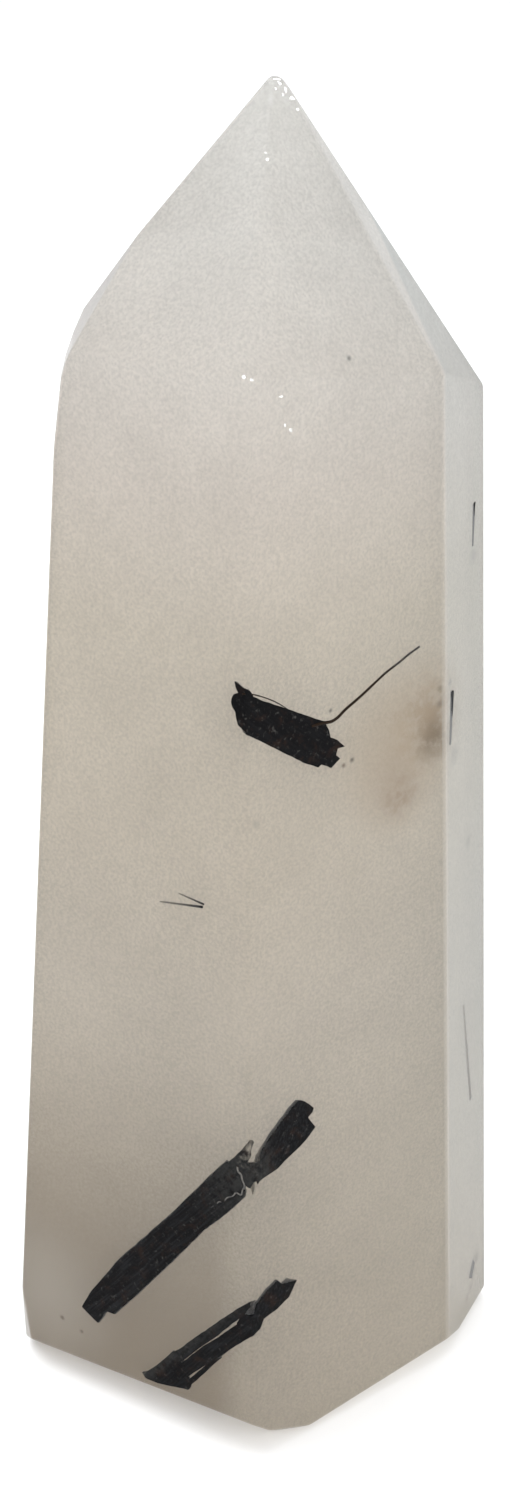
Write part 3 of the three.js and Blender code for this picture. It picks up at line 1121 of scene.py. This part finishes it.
def side_rod(
    name: str, start: tuple, end: tuple, radius_mm: float, finish: Tourmaline, **more: float
) -> Crystal:
    """A small crystal in the narrow right face."""
    strand = Strand(SIDE, start, end, radius_mm, **more)
    return Crystal(name, (f"tourmaline_{name}",), (strand,), finish=finish)


def needle(name: str, start: tuple, end: tuple, radius_mm: float, seed: int) -> Crystal:
    """A needle that dives in from the left front face."""
    strand = Strand(LEFT, start, end, radius_mm, taper=0.5, sides=10, snag_mm=0, seed=seed)
    return Crystal(name, (f"tourmaline_{name}",), (strand,))


def crystals() -> list:
    """All the tourmaline, crystal by crystal."""
    return [
        Crystal(
            "block",
            ("tourmaline_block",),
            (Shard(FRONT, BLOCK_RIM, 1.3, seed=1), Shard(LEFT, BLOCK_END, 0.7, ragged_mm=0.02, seed=2)),
            finish=BROKEN,
        ),
        Crystal(
            "long_rod",
            ("tourmaline_long_rod",),
            (
                Shard(LEFT, ROD_LOW, 1.6, swell=0.3, seed=3),
                Shard(LEFT, ROD_TIP, 0.3, seed=10),
                Shard(FRONT, ROD_HIGH, 1.4, swell=0.3, ragged_mm=0.06, seed=4),
                Shard(FRONT, ROD_GAP, 1.2, swell=0.2, ragged_mm=0.08, seed=11),
            ),
            (Fade(LEFT, (2.6, 19.5), (7.7, 27.2)), Fade(FRONT, (-6.9, 27.2), (-8.75, 27.0))),
        ),
        Crystal(
            "fork",
            ("tourmaline_fork",),
            (
                Shard(LEFT, FORK_THICK, 1.1, seed=5),
                Shard(FRONT, FORK_TAIL, 1.2, swell=0.3, seed=6),
                Shard(LEFT, FORK_THIN, 0.8, seed=7),
                Shard(LEFT, FORK_FOOT, 0.9, swell=0.25, seed=8),
                Shard(LEFT, FORK_FIBRE, 0.4, seed=9),
            ),
            (Fade(LEFT, (4.9, 10.4), (3.9, 11.2)),),
        ),
        side_rod("side_upper", (8.66, 71.3, 0.25), (8.45, 68.0, 0.34), 0.2, STRIATED, taper=0.6, seed=5),
        side_rod("side_middle", (4.1, 58.75, 0.14), (3.85, 54.5, 0.34), 0.27, STRIATED, taper=0.6, seed=6),
        side_rod("side_lower", (7.3, 30.9, 1.5), (8.25, 21.6, 0.5), 0.15, PALE, taper=1.3, seed=7),
        side_rod("side_foot", (8.95, 5.3, 0.3), (8.15, 3.9, 0.45), 0.32, SMOKY, seed=8),
        needle("needle_long", (3.3, 46.82, 0.02), (-0.65, 45.83, 1.2), 0.1, 9),
        needle("needle_short", (3.4, 47.06, 0.02), (1.03, 47.03, 0.9), 0.08, 10),
    ]


def threads() -> list:
    """The hair, the flake beside the block, and the pale crack where the long rod is broken."""
    return [
        Hair("hair", ("tourmaline_hair",), FRONT, HAIR_PATH, (0.24, 0.17)),
        Hair("flake", ("tourmaline_block",), FRONT, FLAKE_PATH, (0.1, 0.07)),
        Hair("crack", ("tourmaline_long_rod",), LEFT, CRACK_PATH, (0.1, 0.22), HEALED, "milky_quartz"),
    ]


@dataclass(frozen=True)
class Lamp:
    """A square soft lamp that faces the stone."""

    name: str
    place: tuple
    size: float
    power: float
    colour: tuple
    target: tuple = (0, 0, 0.05)

    def hang(self) -> None:
        """Adds the lamp to the scene."""
        light = bpy.data.lights.new(self.name, "AREA")
        light.shape = "SQUARE"
        light.size = self.size
        light.energy = self.power
        light.color = self.colour
        item = bpy.data.objects.new(self.name, light)
        item.location = self.place
        way = Vector(self.target) - Vector(self.place)
        item.rotation_euler = way.to_track_quat("-Z", "Y").to_euler()
        bpy.context.scene.collection.objects.link(item)


@dataclass(frozen=True)
class Studio:
    """A pale floor, soft light and the camera."""

    paper: tuple = (0.95, 0.95, 0.95, 1)
    paper_roughness: float = 0.9
    floor_radius: float = 6.0
    floor_sides: int = 64
    sunk_mm: float = 0.01  # how far the stone sinks into the floor
    lamps: tuple = (
        Lamp("key", (0.3, -0.7, 0.3), 0.9, 7, (1, 0.99, 0.97)),
        Lamp("fill", (-0.3, 0.2, 0.9), 0.9, 6, (0.96, 0.98, 1)),
    )
    sky: tuple = (0.97, 0.98, 1, 1)
    sky_strength: float = 1.0
    bounces: int = 32
    clear_bounces: int = 16
    focal_mm: float = 32.64
    sensor_mm: float = 24.0
    nearest: float = 0.001
    place: tuple = (-0.00025, -0.135776, 0.116193)
    pitch_deg: float = 65.0

    def floor(self) -> None:
        """A wide pale floor."""
        bm = bmesh.new()
        level = Matrix.Translation((0, 0, self.sunk_mm * MM))
        bmesh.ops.create_circle(
            bm, cap_ends=True, segments=self.floor_sides, radius=self.floor_radius, matrix=level
        )
        nodes = Nodes("paper")
        nodes.surface({"Base Color": self.paper, "Roughness": self.paper_roughness})
        item = object_of("floor", bm)
        item.data.materials.append(nodes.material)

    def light(self) -> None:
        """The lamps, the pale surroundings, and enough bounces for the haze."""
        for lamp in self.lamps:
            lamp.hang()
        scene = bpy.context.scene
        scene.world = bpy.data.worlds.new("studio")
        scene.world.use_nodes = True
        background = scene.world.node_tree.nodes["Background"]
        background.inputs["Color"].default_value = self.sky
        background.inputs["Strength"].default_value = self.sky_strength
        scene.view_settings.view_transform = "Standard"
        scene.cycles.max_bounces = self.bounces
        scene.cycles.volume_bounces = self.bounces
        scene.cycles.transmission_bounces = self.clear_bounces

    def camera(self) -> None:
        """The camera at the photograph's angle."""
        camera = bpy.data.cameras.new("camera")
        camera.sensor_fit = "VERTICAL"
        camera.sensor_height = self.sensor_mm
        camera.lens = self.focal_mm
        camera.clip_start = self.nearest
        item = bpy.data.objects.new("camera", camera)
        item.location = self.place
        item.rotation_euler = (math.radians(self.pitch_deg), 0, 0)
        bpy.context.scene.collection.objects.link(item)
        bpy.context.scene.camera = item

    def build(self) -> None:
        """Sets the stage, the lights and the camera."""
        self.floor()
        self.light()
        self.camera()


def main() -> None:
    """Builds the stone, its crystals and the studio."""
    logging.basicConfig(level=logging.INFO)
    noise.seed_set(NOISE_SEED)
    planes = QuartzPoint().build()
    materials = {finish: finish.build() for finish in (STRIATED, SMOKY, PALE, BROKEN, BROWN, HEALED)}
    for crystal in crystals():
        crystal.build(planes, materials)
    for thread in threads():
        thread.build(materials)
    Studio().build()


if __name__ == "__main__":
    main()
